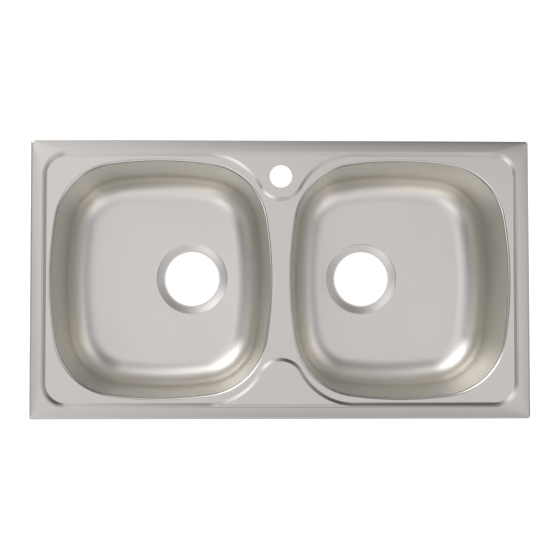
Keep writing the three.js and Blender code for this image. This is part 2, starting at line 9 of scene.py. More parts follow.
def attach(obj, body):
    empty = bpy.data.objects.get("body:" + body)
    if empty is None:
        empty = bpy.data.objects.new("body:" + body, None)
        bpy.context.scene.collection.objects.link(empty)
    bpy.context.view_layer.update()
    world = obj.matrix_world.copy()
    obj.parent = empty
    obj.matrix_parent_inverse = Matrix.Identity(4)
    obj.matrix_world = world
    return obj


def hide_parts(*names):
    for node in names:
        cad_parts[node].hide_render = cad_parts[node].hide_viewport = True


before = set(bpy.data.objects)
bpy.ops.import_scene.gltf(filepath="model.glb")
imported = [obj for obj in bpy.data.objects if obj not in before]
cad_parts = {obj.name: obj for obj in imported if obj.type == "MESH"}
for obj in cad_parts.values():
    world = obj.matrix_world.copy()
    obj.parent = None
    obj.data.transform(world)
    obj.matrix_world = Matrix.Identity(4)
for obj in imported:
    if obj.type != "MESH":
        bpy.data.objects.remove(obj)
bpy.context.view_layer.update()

# ---- Studio -------------------------------------------------------------------------------------
# The sink stands on its waste seats on a white table, among large soft lamps. The camera hangs high
# over the left bowl, a little in front of the middle.

MM = 0.001


class Signal:
    """A socket of a node tree. Sums and products of signals add Math nodes to the tree."""

    def __init__(self, finish, socket):
        self.finish = finish
        self.socket = socket

    def math(self, operation, *terms):
        return self.finish.node("Math", {"operation": operation}, dict(enumerate(terms)))

    def __add__(self, other):
        return self.math("ADD", self, other)

    def __radd__(self, other):
        return self.math("ADD", other, self)

    def __sub__(self, other):
        return self.math("SUBTRACT", self, other)

    def __rsub__(self, other):
        return self.math("SUBTRACT", other, self)

    def __mul__(self, other):
        return self.math("MULTIPLY", self, other)

    def __rmul__(self, other):
        return self.math("MULTIPLY", other, self)


class Finish:
    """The node tree of a material or of the world."""

    def __init__(self, owner):
        owner.use_nodes = True
        self.owner = owner
        self.tree = owner.node_tree
        self.tree.nodes.clear()

    def node(self, kind, settings=None, sockets=None, out=0):
        """Adds a node: its settings first, then the values or links of its sockets."""
        made = self.tree.nodes.new("ShaderNode" + kind)
        for name, value in (settings or {}).items():
            setattr(made, name, value)
        for key, value in (sockets or {}).items():
            if isinstance(value, Signal):
                self.tree.links.new(value.socket, made.inputs[key])
            else:
                made.inputs[key].default_value = value
        return Signal(self, made.outputs[out])

    def end(self, kind, signal):
        output = self.tree.nodes.new("ShaderNodeOutput" + kind)
        self.tree.links.new(signal.socket, output.inputs["Surface"])
        return self.owner


def toward(azimuth, elevation):
    """A direction from the sink: azimuth 0 is in front of it, 90 at its right."""
    a, e = math.radians(azimuth), math.radians(elevation)
    return Vector((math.sin(a) * math.cos(e), -math.cos(a) * math.cos(e), math.sin(e)))


def build_studio_light():
    world = bpy.data.worlds.new("studio")
    bpy.context.scene.world = world
    sky = Finish(world)
    direction = sky.node("TexCoord", out="Generated")
    sharpness = 22
    # the strengths of the soft lamps at each elevation, by azimuth
    rings = {
        90: {0: 0.4},
        70: {90: 0.85, 225: 0.9, 315: 0.5},
        48: {30: 0.8, 220: 0.85, 325: 1.75},
        26: {0: 1.3, 50: 1.7, 105: 1.35, 130: 0.9, 180: 0.5, 205: 3.35, 230: 3.3},
        6: {285: 3.25},
    }
    lamps = [(azimuth, height, ring[azimuth]) for height, ring in rings.items() for azimuth in ring]
    total = 0.0
    for azimuth, elevation, strength in lamps:
        facing = sky.node(
            "VectorMath", {"operation": "DOT_PRODUCT"}, {0: direction, 1: toward(azimuth, elevation)},
            out="Value",
        )
        spread = sharpness * (facing - 1)
        total = total + strength * spread.math("EXPONENT", spread)
    lit = sky.node("Background", None, {"Color": (1, 0.985, 0.965, 1), "Strength": total})
    plain = sky.node("Background", None, {"Color": (1, 1, 1, 1), "Strength": 1.0})
    seen = sky.node("LightPath", out="Is Camera Ray")
    sky.end("World", sky.node("MixShader", None, {0: seen, 1: lit, 2: plain}))


def build_floor():
    reach = 9.0
    mesh = bpy.data.meshes.new("floor")
    mesh.from_pydata(
        [(-reach, -reach, 0), (reach, -reach, 0), (reach, reach, 0), (-reach, reach, 0)],
        [], [(0, 1, 2, 3)],
    )
    floor = bpy.data.objects.new("floor", mesh)
    floor.location.z = -0.2 * MM
    bpy.context.scene.collection.objects.link(floor)
    paint = Finish(bpy.data.materials.new("white_table"))
    grain = paint.node("TexNoise", None, {"Scale": 35.0, "Detail": 3.0})
    seen = paint.node("LightPath", out="Is Camera Ray")
    top = paint.node("BsdfPrincipled", None, {
        "Base Color": (0.55, 0.55, 0.55, 1), "Roughness": 0.7 + 0.1 * grain,
        "Emission Color": (1, 1, 1, 1), "Emission Strength": 0.8 * seen,
    })
    mesh.materials.append(paint.end("Material", top))


def build_camera():
    picture, focal_length, off_centre = 560, 1303.86, 20
    azimuth, elevation, roll = -32.48, 86.937, math.radians(32.524)
    data = bpy.data.cameras.new("camera")
    data.lens = focal_length / picture * data.sensor_width
    data.shift_x, data.shift_y = off_centre / picture, -off_centre / picture
    camera = bpy.data.objects.new("camera", data)
    bpy.context.scene.collection.objects.link(camera)
    back = toward(azimuth, elevation)
    right = Vector((math.cos(math.radians(azimuth)), math.sin(math.radians(azimuth)), 0))
    up = back.cross(right)
    turn = Matrix.Identity(3)
    turn.col[0] = right * math.cos(roll) + up * math.sin(roll)
    turn.col[1] = up * math.cos(roll) - right * math.sin(roll)
    turn.col[2] = back
    camera.matrix_world = turn.to_4x4()
    camera.location = Vector((-91.147, -61.976, 2190.851)) * MM
    bpy.context.scene.camera = camera


bpy.context.scene.view_settings.view_transform = "Standard"
build_studio_light()
build_floor()
build_camera()

# ---- Deck ---------------------------------------------------------------------------------------
# One sheet of 0.8 mm stainless steel, pressed in a die: a rolled lip, a flange rising to a crest, a
# shallow step down round both bowls, a raised tap ledge and front island, each sunk a little behind
# the crest, and a collar at each bowl.

SHEET = 0.8
HALF_LENGTH, HALF_DEPTH = 390.0, 217.5
LEDGE_TOP, BASIN_TOP = 160.0, 157.8
LEDGE_CENTRE = HALF_DEPTH - 56.7
LEDGE_START, BASIN_INSET = 19.6, 26.2
LEDGE_REACH = 120.0
SUNK_BY, SUNK_FROM = 0.25, HALF_DEPTH - 22.0
DRAFT = 6.0
WALL_SLOPE = math.tan(math.radians(DRAFT))
BOWL_CENTRE = 187.2
COLLAR_END = BASIN_TOP - 7


def arc(x, y, radius, start, end, steps):
    """Points on an arc, both ends included. Angles are in degrees."""
    angles = [math.radians(start + (end - start) * i / steps) for i in range(steps + 1)]
    return [(x + radius * math.cos(a), y + radius * math.sin(a)) for a in angles]


def four_quarters(quarter, centre_x=0.0):
    """Mirrors the first quarter of an outline into the other three."""
    def placed(sx, sy):
        return [(sx * x, sy * y) for x, y in quarter]

    every = [*placed(1, 1), *placed(-1, 1)[::-1], *placed(-1, -1), *placed(1, -1)[::-1]]
    kept = [p for i, p in enumerate(every) if math.dist(p, every[i - 1]) > 1e-6]
    return [(x + centre_x, y) for x, y in kept]


def line(start, end, steps):
    """Points along a straight side, without its last one."""
    return [tuple(Vector(start).lerp(Vector(end), i / steps)) for i in range(steps)]


def deck_outline(inset):
    """The sheet's outline at an inset. Its corners open out from the lip to the crest."""
    lip_end, crest, lip_radius, crest_radius = 3.0, 17.6, 4.4, 38.6
    opening = min(max((inset - lip_end) / (crest - lip_end), 0), 1)
    radius = lip_radius + (crest_radius - lip_radius) * opening - max(inset - crest, 0)
    corner_x, corner_y = HALF_LENGTH - inset - radius, HALF_DEPTH - inset - radius
    corner = arc(corner_x, corner_y, radius, 0, 90, 24)
    side = line((corner_x + radius, 0), corner[0], 24)
    end = line(corner[-1], (0, corner_y + radius), 40)
    return four_quarters([*side, *corner, *end[1:], (0, corner_y + radius)])


def basin_outline(offset):
    """The foot of the step round both bowls, dipping in round the tap ledge and the front island."""
    edge_x, edge_y = HALF_LENGTH - BASIN_INSET, HALF_DEPTH - BASIN_INSET
    corner_radius, end_radius, flare_radius = 30.0, 39.0, 90.0
    flare_y = edge_y - flare_radius
    flare_x = math.sqrt((flare_radius + end_radius) ** 2 - (LEDGE_CENTRE - flare_y) ** 2)
    meeting = math.degrees(math.atan2(LEDGE_CENTRE - flare_y, -flare_x))
    corner = arc(edge_x - corner_radius, edge_y - corner_radius, corner_radius + offset, 0, 90, 24)
    flare = arc(flare_x, flare_y, flare_radius + offset, 90, meeting, 28)
    end = arc(0, LEDGE_CENTRE, end_radius - offset, meeting - 180, -90, 24)
    side = line((edge_x + offset, 0), corner[0], 24)
    top = line(corner[-1], flare[0], 16)
    return four_quarters([*side, *corner, *top[1:], *flare, *end[1:]])


def rim_outline(centre_x, inset):
    """A bowl's rim: four slightly bulging sides with large round corners, tangent to each other."""
    half_length, half_depth = 170.6, 184.6
    side_radius, end_radius, corner_radius = 600.0, 550.0, 100.0
    side_x, end_y = half_length - side_radius, half_depth - end_radius
    to_side, to_end = side_radius - corner_radius, end_radius - corner_radius
    between = math.hypot(side_x, end_y)
    along = (to_side ** 2 - to_end ** 2 + between ** 2) / (2 * between)
    across = math.sqrt(to_side ** 2 - along ** 2)
    ux, uy = -side_x / between, end_y / between
    corner_x, corner_y = side_x + along * ux - across * uy, along * uy + across * ux
    side_angle = math.degrees(math.atan2(corner_y, corner_x - side_x))
    end_angle = math.degrees(math.atan2(corner_y - end_y, corner_x))
    side = arc(side_x, 0, side_radius - inset, 0, side_angle, 20)
    corner = arc(corner_x, corner_y, corner_radius - inset, side_angle, end_angle, 44)
    end = arc(0, end_y, end_radius - inset, end_angle, 90, 20)
    return four_quarters([*side, *corner[1:], *end[1:]], centre_x)


def eased(section, radii, steps=6):
    """Rounds the corners of a section. Each radius is the reach of the rounding from its corner."""
    rounded = []
    for i, point in enumerate(section):
        reach = radii.get(i, 0)
        if not reach:
            rounded.append(point)
            continue
        here = Vector(point)
        before = here + (Vector(section[i - 1]) - here).normalized() * reach
        after = here + (Vector(section[i + 1]) - here).normalized() * reach
        for k in range(steps + 1):
            t = k / steps
            rounded.append(tuple(before.lerp(here, t).lerp(here.lerp(after, t), t)))
    return rounded


def section_below(section, before=None, after=None):
    """The lower side of a section through the sheet, square to it at every corner."""
    def step(k):
        return (Vector(section[k + 1]) - Vector(section[k])).normalized()

    below = []
    for i, point in enumerate(section):
        incoming = step(i - 1) if i > 0 else Vector(before or step(0))
        outgoing = step(i) if i < len(section) - 1 else Vector(after or step(i - 1))
        left = Vector((-incoming.y - outgoing.y, incoming.x + outgoing.x))
        below.append(tuple(Vector(point) - left * (SHEET / (1 + incoming.dot(outgoing)))))
    return below


def wall_inset(height):
    """How far a bowl's wall has leaned in at a height."""
    return WALL_SLOPE * (BASIN_TOP - height)


class Sheet:
    """A piece made of loops of points, in millimetres, with faces between them."""

    def __init__(self):
        self.points = []
        self.faces = []

    def loop(self, outline, height):
        first = len(self.points)
        self.points += [(x * MM, y * MM, height * MM) for x, y in outline]
        return list(range(first, len(self.points)))

    def strip(self, outer, inner, flipped=False):
        for i in range(len(outer)):
            face = (outer[i - 1], outer[i], inner[i], inner[i - 1])
            self.faces.append(face[::-1] if flipped else face)

    def strips(self, loops, flipped=False):
        for outer, inner in zip(loops, loops[1:]):
            self.strip(outer, inner, flipped)

    def fill(self, outer, holes=(), flipped=False):
        loops = [outer, *holes]
        indices = [i for loop in loops for i in loop]
        corners = [[Vector(self.points[i]) for i in loop] for loop in loops]
        for a, b, c in tessellate_polygon(corners):
            p, q, r = (Vector(self.points[indices[k]]) for k in (a, b, c))
            clockwise = (q - p).cross(r - p).z < 0
            face = (indices[a], indices[b], indices[c])
            self.faces.append(face[::-1] if clockwise != flipped else face)

    def piece(self, name, finish, body="sink", sharp=35):
        mesh = bpy.data.meshes.new(name)
        mesh.from_pydata(self.points, [], self.faces)
        mesh.materials.append(finish)
        mesh.shade_smooth()
        mesh.set_sharp_from_angle(angle=math.radians(sharp))
        made = bpy.data.objects.new(name, mesh)
        bpy.context.scene.collection.objects.link(made)
        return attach(made, body)


def pressed(build_side):
    """Builds both sides with one function, which gives each side's open loops, the outer one first."""
    sheet = Sheet()
    upper = build_side(sheet, False)
    lower = build_side(sheet, True)
    for i, (top, bottom) in enumerate(zip(upper, lower)):
        sheet.strip(bottom, top, flipped=i > 0)
    return sheet


def satin_steel(name, colour, roughness, grain, waviness, painted_wall_shade=None):
    """Satin stainless steel: fine polishing lines, the slight waves left by the press, and, if a wall tint
    is given, painted shade on a bowl's walls.
    """
    finish = Finish(bpy.data.materials.new(name))
    place = finish.node("TexCoord", out="Object")
    along = finish.node("Mapping", None, {"Vector": place, "Scale": grain})
    lines = finish.node("TexNoise", None, {
        "Vector": along, "Scale": 1100.0, "Detail": 3.0, "Roughness": 0.6,
    })
    patches = finish.node("TexNoise", None, {"Vector": place, "Scale": 14.0, "Detail": 3.0})
    waves = finish.node("TexNoise", None, {"Vector": place, "Scale": 7.0, "Detail": 1.0})
    bump = finish.node("Bump", None, {
        "Height": 0.004 * lines + waviness * waves, "Strength": 0.3, "Distance": MM,
    })
    worn = tuple(0.94 * c for c in colour)
    tint = finish.node(
        "Mix", {"data_type": "RGBA"},
        {0: 0.3 * patches + 0.25 * lines, 6: (*colour, 1), 7: (*worn, 1)}, out=2,
    )
    # painted shade: from 9 to 40 mm up, the walls blend into an olive tint that stands in for the dim
    # reflections they catch. It is not a colour of the steel.
    if painted_wall_shade:
        low, high = 9.0, 40.0
        height = finish.node("SeparateXYZ", None, {"Vector": place}, out=2)
        wall_shade_blend = finish.node("MapRange", {"interpolation_type": "SMOOTHSTEP"}, {
            "Value": height, "From Min": low * MM, "From Max": high * MM,
        })
        tint = finish.node(
            "Mix", {"data_type": "RGBA"}, {0: wall_shade_blend, 6: tint, 7: (*painted_wall_shade, 1)}, out=2,
        )
    surface = finish.node("BsdfPrincipled", None, {
        "Base Color": tint, "Metallic": 1.0, "Normal": bump,
        "Roughness": (roughness - 0.03) + 0.03 * lines + 0.03 * patches,
    })
    return finish.end("Material", surface)


def build_deck():
    hold = 0.05
    level = (1, 0)
    flange_end = (3 + 3 * math.cos(math.radians(95.4)), 156.3 + 3 * math.sin(math.radians(95.4)))
    lip = [
        (0, 155.5), *arc(3, 156.3, 3, 180, 95.4, 12),
        *eased([flange_end, (17.9, 160.52), (19.05, LEDGE_TOP), (LEDGE_START, LEDGE_TOP)],
               {1: 0.5, 2: 0.2}, 8)[1:],
    ]
    foot_radius, shoulder_radius, lean = 5.0, 1.2, 23.0
    top_x = LEDGE_START - BASIN_INSET + 2 * hold
    shoulder = arc(top_x, LEDGE_TOP - shoulder_radius, shoulder_radius, 90, 90 - lean, 5)
    foot = arc(-hold, BASIN_TOP + foot_radius, foot_radius, 270 - lean, 270, 8)
    step = [(top_x - hold, LEDGE_TOP), *shoulder, *foot, (0, BASIN_TOP)]
    roll = 5.0
    roll_x = WALL_SLOPE * roll * (1 - math.sin(math.radians(DRAFT))) - roll * math.cos(math.radians(DRAFT))
    collar = [
        (roll_x - 0.3, BASIN_TOP), *arc(roll_x, BASIN_TOP - roll, roll, 90, DRAFT, 14),
        (wall_inset(COLLAR_END), COLLAR_END),
    ]
    down = tuple(Vector((WALL_SLOPE, -1)).normalized())
    sides = {
        False: (lip, step, collar),
        True: (
            section_below(lip, None, level), section_below(step, level, level),
            section_below(collar, level, down),
        ),
    }
    tap_hole = arc(0, LEDGE_CENTRE, 17.5, 0, 360, 72)[1:]

    def sunk_ledge(sheet, step_tops, side, below, holes):
        """Sinks a ledge a little below the crest, behind a fine line. Gives the line's outer side."""
        hold_flat, bow, pieces = 0.12, 0.2, 40
        inside = [
            i for i in step_tops if abs(sheet.points[i][0]) < LEDGE_REACH * MM
            and 0 < side * sheet.points[i][1] < SUNK_FROM * MM
        ]
        first, last = step_tops.index(inside[0]), step_tops.index(inside[-1])
        outside = step_tops[first - 1], step_tops[(last + 1) % len(step_tops)]
        top = LEDGE_TOP - (SHEET if below else 0)

        def across(start, end, shift, height):
            """A slight bow from one vertex to another, shifted towards the sink's middle between them."""
            a, b = (Vector(sheet.points[i]) / MM for i in (start, end))
            row = [start]
            for k in range(1, pieces):
                share = k / pieces
                x, y, _ = a.lerp(b, share)
                out = 4 * bow * share * (1 - share) - shift
                row.append(len(sheet.points))
                sheet.points.append((x * MM, (y + side * out) * MM, height * MM))
            return [*row, end]

        rows = [across(*outside, shift, top) for shift in (-hold_flat, 0)]
        rows += [across(inside[0], inside[-1], shift, top - SUNK_BY) for shift in (0, hold_flat)]
        for outer, inner in zip(rows, rows[1:]):
            for k in range(pieces):
                face = tuple(dict.fromkeys((outer[k], outer[k + 1], inner[k + 1], inner[k])))
                sheet.faces.append(face[::-1] if below else face)
        sheet.fill([*inside, *rows[-1][-2:0:-1]], holes, below)
        return rows[0]

    def build_side(sheet, below):
        lip_section, step_section, collar_section = sides[below]
        lips = [sheet.loop(deck_outline(x), z) for x, z in lip_section]
        steps = [sheet.loop(basin_outline(-x), z) for x, z in step_section]
        crown, foot = step_section[0][1], step_section[-1][1]
        for loop, (_, z) in zip(steps, step_section):
            for i in loop:
                x, y, height = sheet.points[i]
                if abs(x) < LEDGE_REACH * MM and abs(y) < SUNK_FROM * MM:
                    sheet.points[i] = (x, y, height - SUNK_BY * (z - foot) / (crown - foot) * MM)
        tap = sheet.loop(tap_hole, LEDGE_TOP - SUNK_BY - (SHEET if below else 0))
        collars = [
            [sheet.loop(rim_outline(centre, x), z) for x, z in collar_section]
            for centre in (-BOWL_CENTRE, BOWL_CENTRE)
        ]
        edge = list(steps[0])
        for side, holes in ((1, [tap]), (-1, [])):
            line_above = sunk_ledge(sheet, steps[0], side, below, holes)
            first, last = edge.index(line_above[0]), edge.index(line_above[-1])
            edge[first:last + 1] = line_above
        sheet.strips(lips, below)
        sheet.fill(lips[-1], [edge], below)
        sheet.strips(steps, below)
        sheet.fill(steps[-1], [loops[0] for loops in collars], below)
        for loops in collars:
            sheet.strips(loops, below)
        return [lips[0], tap, *[loops[-1] for loops in collars]]

    finish = satin_steel("deck_satin", (0.585, 0.572, 0.562), 0.2, (0.03, 1, 1), 0.12)
    deck = pressed(build_side).piece("deck_sheet", finish, sharp=12)
    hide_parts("deck")


build_deck()

# ---- Bowls --------------------------------------------------------------------------------------
# Two deep-drawn stainless shells, seam-welded to the deck's collars and ground flush inside. The
# floor falls to a shallow conical recess with a narrow flat seat round the waste hole.

FLOOR_EDGE, FLOOR_AT_WASTE, FLOOR_RADIUS = 6.3, 4.8, 46.0
WALL_FOOT = FLOOR_EDGE + FLOOR_RADIUS * (1 - math.sin(math.radians(DRAFT)))
FLOOR_INSET = wall_inset(WALL_FOOT) + FLOOR_RADIUS * math.cos(math.radians(DRAFT))
WASTE_X, WASTE_Y = 141.932, 5.0
WASTE_HOLE, WASTE_SEAT, RECESS = 45.0, 47.5, 59.0
WALL_TOP = COLLAR_END - 0.3


def build_bowl(name, side):
    heights = (WALL_TOP, WALL_TOP - 20, WALL_TOP - 50, WALL_TOP - 80)
    wall = [
        *[(wall_inset(z), z) for z in heights],
        *arc(FLOOR_INSET, FLOOR_EDGE + FLOOR_RADIUS, FLOOR_RADIUS, 180 + DRAFT, 270, 40),
    ]
    recess = eased([
        (-RECESS - 2, FLOOR_AT_WASTE), (-RECESS, FLOOR_AT_WASTE),
        (-RECESS + 1, FLOOR_AT_WASTE - 0.9), (-WASTE_SEAT, SHEET), (-WASTE_HOLE, SHEET),
    ], {1: 0.45, 2: 0.5, 3: 0.8}, 4)
    level = (1, 0)
    sides = {
        False: (wall, recess),
        True: (section_below(wall, None, level), section_below(recess, level, level)),
    }
    centre, waste = side * BOWL_CENTRE, Vector((side * WASTE_X, WASTE_Y))

    def build_side(sheet, below):
        wall_section, recess_section = sides[below]
        edge = rim_outline(centre, wall_section[-1][0])

        def ring(radius):
            return [tuple(waste + (Vector(p) - waste).normalized() * radius) for p in edge]

        loops = [sheet.loop(rim_outline(centre, x), z) for x, z in wall_section]
        loops += [sheet.loop(ring(-x), z) for x, z in recess_section]
        sheet.strips(loops, below)
        return [loops[0], loops[-1]]

    # the bowls' wall tint is painted shade, standing in for the dim reflections on the walls
    finish = satin_steel(
        name + "_satin", (0.70, 0.68, 0.675), 0.36, (1, 1, 0.04), 0.3, painted_wall_shade=(0.69, 0.673, 0.61),
    )
    bowl = pressed(build_side).piece(name + "_shell", finish)
    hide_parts(name)


build_bowl("bowl_left", -1)
build_bowl("bowl_right", 1)

# ---- Weld seams ---------------------------------------------------------------------------------
# The bead that joins each bowl to the deck's collar. It is ground flush on the inside and stands
# proud, straw-coloured from the heat, on the outside.


def heat_tinted_steel():
    finish = Finish(bpy.data.materials.new("weld_bead"))
    place = finish.node("TexCoord", out="Object")
    ripples = finish.node("TexNoise", None, {"Vector": place, "Scale": 420.0, "Detail": 2.0})
    drift = finish.node("TexNoise", None, {"Vector": place, "Scale": 18.0, "Detail": 2.0})
    tint = finish.node(
        "Mix", {"data_type": "RGBA"}, {0: drift, 6: (0.60, 0.57, 0.52, 1), 7: (0.50, 0.42, 0.31, 1)}, out=2,
    )
    bump = finish.node("Bump", None, {"Height": ripples, "Strength": 0.5, "Distance": 0.15 * MM})
    surface = finish.node("BsdfPrincipled", None, {
        "Base Color": tint, "Metallic": 1.0, "Roughness": 0.3 + 0.2 * ripples, "Normal": bump,
    })
    return finish.end("Material", surface)


def build_weld(name, side, finish):
    outside = SHEET / math.cos(math.radians(DRAFT))
    low, high = WALL_TOP + 0.01, COLLAR_END - 0.01
    proud = [
        (low - 0.6, 0.02), (low - 0.3, 0.25), ((low + high) / 2, 0.34),
        (high + 0.3, 0.25), (high + 0.6, 0.02),
    ]
    section = [
        (wall_inset(high), high), (wall_inset(low), low), (wall_inset(low) - outside, low),
        *[(wall_inset(z) - outside - out, z) for z, out in proud], (wall_inset(high) - outside, high),
    ]
    bead = Sheet()
    loops = [bead.loop(rim_outline(side * BOWL_CENTRE, x), z) for x, z in section]
    bead.strips([*loops, loops[0]])
    bead.piece(name, finish)


bead_finish = heat_tinted_steel()
build_weld("weld_left", -1, bead_finish)
build_weld("weld_right", 1, bead_finish)

# ---- Foam strips --------------------------------------------------------------------------------
# Self-adhesive closed-cell foam under the flange, which seals the sink to the worktop. The long
# strips run the whole length, and the short ones butt against them.


def closed_cell_foam():
    finish = Finish(bpy.data.materials.new("seal_foam"))
    place = finish.node("TexCoord", out="Object")
    cells = finish.node("TexVoronoi", None, {"Vector": place, "Scale": 1500.0})
    shade = finish.node("TexNoise", None, {"Vector": place, "Scale": 260.0, "Detail": 2.0})
    tint = finish.node(
        "Mix", {"data_type": "RGBA"},
        {0: 0.6 * cells + 0.4 * shade, 6: (0.030, 0.030, 0.032, 1), 7: (0.016, 0.016, 0.017, 1)}, out=2,
    )
    bump = finish.node("Bump", None, {"Height": cells, "Strength": 0.6, "Distance": 0.2 * MM})
    surface = finish.node("BsdfPrincipled", None, {
        "Base Color": tint, "Roughness": 0.85 + 0.1 * shade, "Normal": bump,
    })
    return finish.end("Material", surface)


def build_foam_strip(name, node, length, place, turn, finish):
    """A strip along X at the front of the sink, turned into place. Its section is in (y, z)."""
    outer, inner, bottom = -3.1, 3.1, 155.05
    pressed_top, pressed_reach = 158.1, 30.0
    top = {outer: 158.45, inner: 158.93}
    section = eased([
        (0, bottom), (inner, bottom), (inner, top[inner]),
        (outer, top[outer]), (outer, bottom), (-0.01, bottom),
    ], {1: 0.9, 2: 0.3, 3: 0.3, 4: 0.9}, 4)[:-1]
    middle = Vector((0, (bottom + top[outer]) / 2))
    steps = round(length / 2.2)
    strip = Sheet()
    rings = []
    for k in range(-2, steps + 3):
        along = min(max(k, 0), steps) / steps
        shrink = {-2: 0.8, -1: 0.95, steps + 1: 0.95, steps + 2: 0.8}.get(k, 1.0)
        x = (along - 0.5) * (length - 0.8) + (min(k, 0) + max(k - steps, 0)) * 0.2
        first = len(strip.points)
        for point in section:
            off = (Vector(point) - middle) * shrink
            cell = noise.noise(Vector((x * 0.45, *point)) * 1.3 + Vector((turn * 7, 3, 5)))
            off *= 1 + 0.03 * cell * (off.y < 1.0)
            spot = Matrix.Rotation(turn, 3, "Z") @ Vector((x, off.x, 0)) + Vector(place)
            # the flange is lower at the sheet's corners, and presses the strip's ends down
            free = min(max((length / 2 - abs(x)) / pressed_reach, 0), 1)
            height = middle.y + off.y
            height -= max(height - pressed_top, 0) * (1 - free)
            strip.points.append((spot.x * MM, spot.y * MM, height * MM))
        rings.append(list(range(first, len(strip.points))))
    strip.strips(rings)
    strip.faces += [tuple(rings[0][::-1]), tuple(rings[-1])]
    foam = strip.piece(name, finish, sharp=60)
    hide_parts(node)


foam_finish = closed_cell_foam()
for side_name, strip_length, strip_place, strip_turn in (
    ("front", 773.6, (0, -211.2, 0), 0),
    ("right", 415.6, (383.7, 0, 0), math.pi / 2),
    ("rear", 773.6, (0, 211.2, 0), math.pi),
    ("left", 415.6, (-383.7, 0, 0), -math.pi / 2),
):
    build_foam_strip(
        "foam_" + side_name, "gasket_" + side_name, strip_length, strip_place, strip_turn, foam_finish,
    )

# ---- Sound pads ---------------------------------------------------------------------------------
# Bitumen sheet, embossed like a waffle and stuck under each bowl's floor beside the waste, where it
# deadens the noise of running water. It is soft enough to follow the fall of the floor.

PAD_HALF_LENGTH, PAD_HALF_DEPTH, PAD_CORNER, PAD_THICKNESS = 38.97, 80.0, 14.0, 2.0
PAD_X = WASTE_X + RECESS + 7 + PAD_HALF_LENGTH


def bitumen():
    finish = Finish(bpy.data.materials.new("bitumen_sheet"))
    place = finish.node("TexCoord", out="Object")
    grain = finish.node("TexNoise", None, {"Vector": place, "Scale": 900.0, "Detail": 4.0})
    dust = finish.node("TexNoise", None, {"Vector": place, "Scale": 60.0, "Detail": 3.0})
    tint = finish.node(
        "Mix", {"data_type": "RGBA"},
        {0: 0.7 * dust + 0.3 * grain, 6: (0.030, 0.030, 0.031, 1), 7: (0.060, 0.058, 0.056, 1)}, out=2,
    )
    bump = finish.node("Bump", None, {"Height": grain, "Strength": 0.5, "Distance": 0.12 * MM})
    surface = finish.node("BsdfPrincipled", None, {
        "Base Color": tint, "Roughness": 0.7 + 0.25 * dust, "Normal": bump,
    })
    return finish.end("Material", surface)


def floor_fall(x, y, edge):
    """Height of a right-hand bowl's floor at a point, which falls along straight lines to the waste."""
    ray = Vector((x - WASTE_X, y - WASTE_Y))
    away = max(
        (Vector(p) - Vector((WASTE_X, WASTE_Y)) for p in edge),
        key=lambda to_edge: to_edge.normalized().dot(ray.normalized()),
    ).length
    share = min(max((ray.length - RECESS) / (away - RECESS), 0), 1)
    return FLOOR_AT_WASTE + (FLOOR_EDGE - FLOOR_AT_WASTE) * share


def build_sound_pad(name, node, side, finish):
    edge = rim_outline(BOWL_CENTRE, FLOOR_INSET)
    columns, rows, rounding = 62, 126, 0.9
    pad = Sheet()
    sheets = {"top": [], "bottom": []}
    for i in range(columns + 1):
        x = -PAD_HALF_LENGTH + 2 * PAD_HALF_LENGTH * i / columns
        past = max(abs(x) - (PAD_HALF_LENGTH - PAD_CORNER), 0)
        half = PAD_HALF_DEPTH - PAD_CORNER + math.sqrt(max(PAD_CORNER ** 2 - past ** 2, 0))
        for skin in sheets.values():
            skin.append([])
        for j in range(rows + 1):
            y = -half + 2 * half * j / rows
            rim = min(PAD_HALF_LENGTH - abs(x), half - abs(y), rounding)
            full = math.sqrt(max(1 - (1 - rim / rounding) ** 2, 0))
            under = floor_fall(PAD_X + x, y, edge) - SHEET - 0.08
            waffle = 0.22 * math.sin(x * math.tau / 9) * math.sin(y * math.tau / 9)
            middle = under - PAD_THICKNESS / 2
            for skin, height in (
                ("top", middle + full * PAD_THICKNESS / 2),
                ("bottom", middle - full * (PAD_THICKNESS / 2 - 0.25 + waffle)),
            ):
                if skin == "bottom" and (i in (0, columns) or j in (0, rows)):
                    sheets[skin][-1].append(sheets["top"][-1][j])
                    continue
                sheets[skin][-1].append(len(pad.points))
                pad.points.append((side * (PAD_X + x) * MM, y * MM, height * MM))
    for skin, grid in sheets.items():
        for a, b in zip(grid, grid[1:]):
            for j in range(rows):
                face = (a[j], b[j], b[j + 1], a[j + 1])
                pad.faces.append(face if (skin == "top") == (side > 0) else face[::-1])
    stuck = pad.piece(name, finish, sharp=60)
    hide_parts(node)


pad_finish = bitumen()
build_sound_pad("bitumen_left", "sound_pad_left", -1, pad_finish)
build_sound_pad("bitumen_right", "sound_pad_right", 1, pad_finish)

# ---- Fixing clips -------------------------------------------------------------------------------
# Eight zinc-plated clips. A folded bracket is spot-welded under the deck, a rivet carries the folded
# claw in it, and a slotted M4 screw in the claw's arm bears on the bracket and drives the leg out.

ARM_TILT = math.radians(14)
PIVOT_DROP, SCREW_OFFSET, SCREW_LENGTH = 6.5, 9.0, 16.0


def zinc_plate():
    finish = Finish(bpy.data.materials.new("zinc_plate"))
    place = finish.node("TexCoord", out="Object")
    bloom = finish.node("TexNoise", None, {"Vector": place, "Scale": 190.0, "Detail": 3.0})
    grain = finish.node("TexNoise", None, {"Vector": place, "Scale": 1600.0, "Detail": 2.0})
    tint = finish.node(
        "Mix", {"data_type": "RGBA"}, {0: bloom, 6: (0.63, 0.66, 0.70, 1), 7: (0.52, 0.53, 0.52, 1)}, out=2,
    )
    bump = finish.node("Bump", None, {"Height": grain, "Strength": 0.25, "Distance": 0.05 * MM})
    surface = finish.node("BsdfPrincipled", None, {
        "Base Color": tint, "Metallic": 1.0, "Roughness": 0.28 + 0.16 * bloom, "Normal": bump,
    })
    return finish.end("Material", surface)


def settled(made):
    """Applies a piece's modifiers and gives the mesh."""
    bpy.context.view_layer.update()
    return bpy.data.meshes.new_from_object(made.evaluated_get(bpy.context.evaluated_depsgraph_get()))


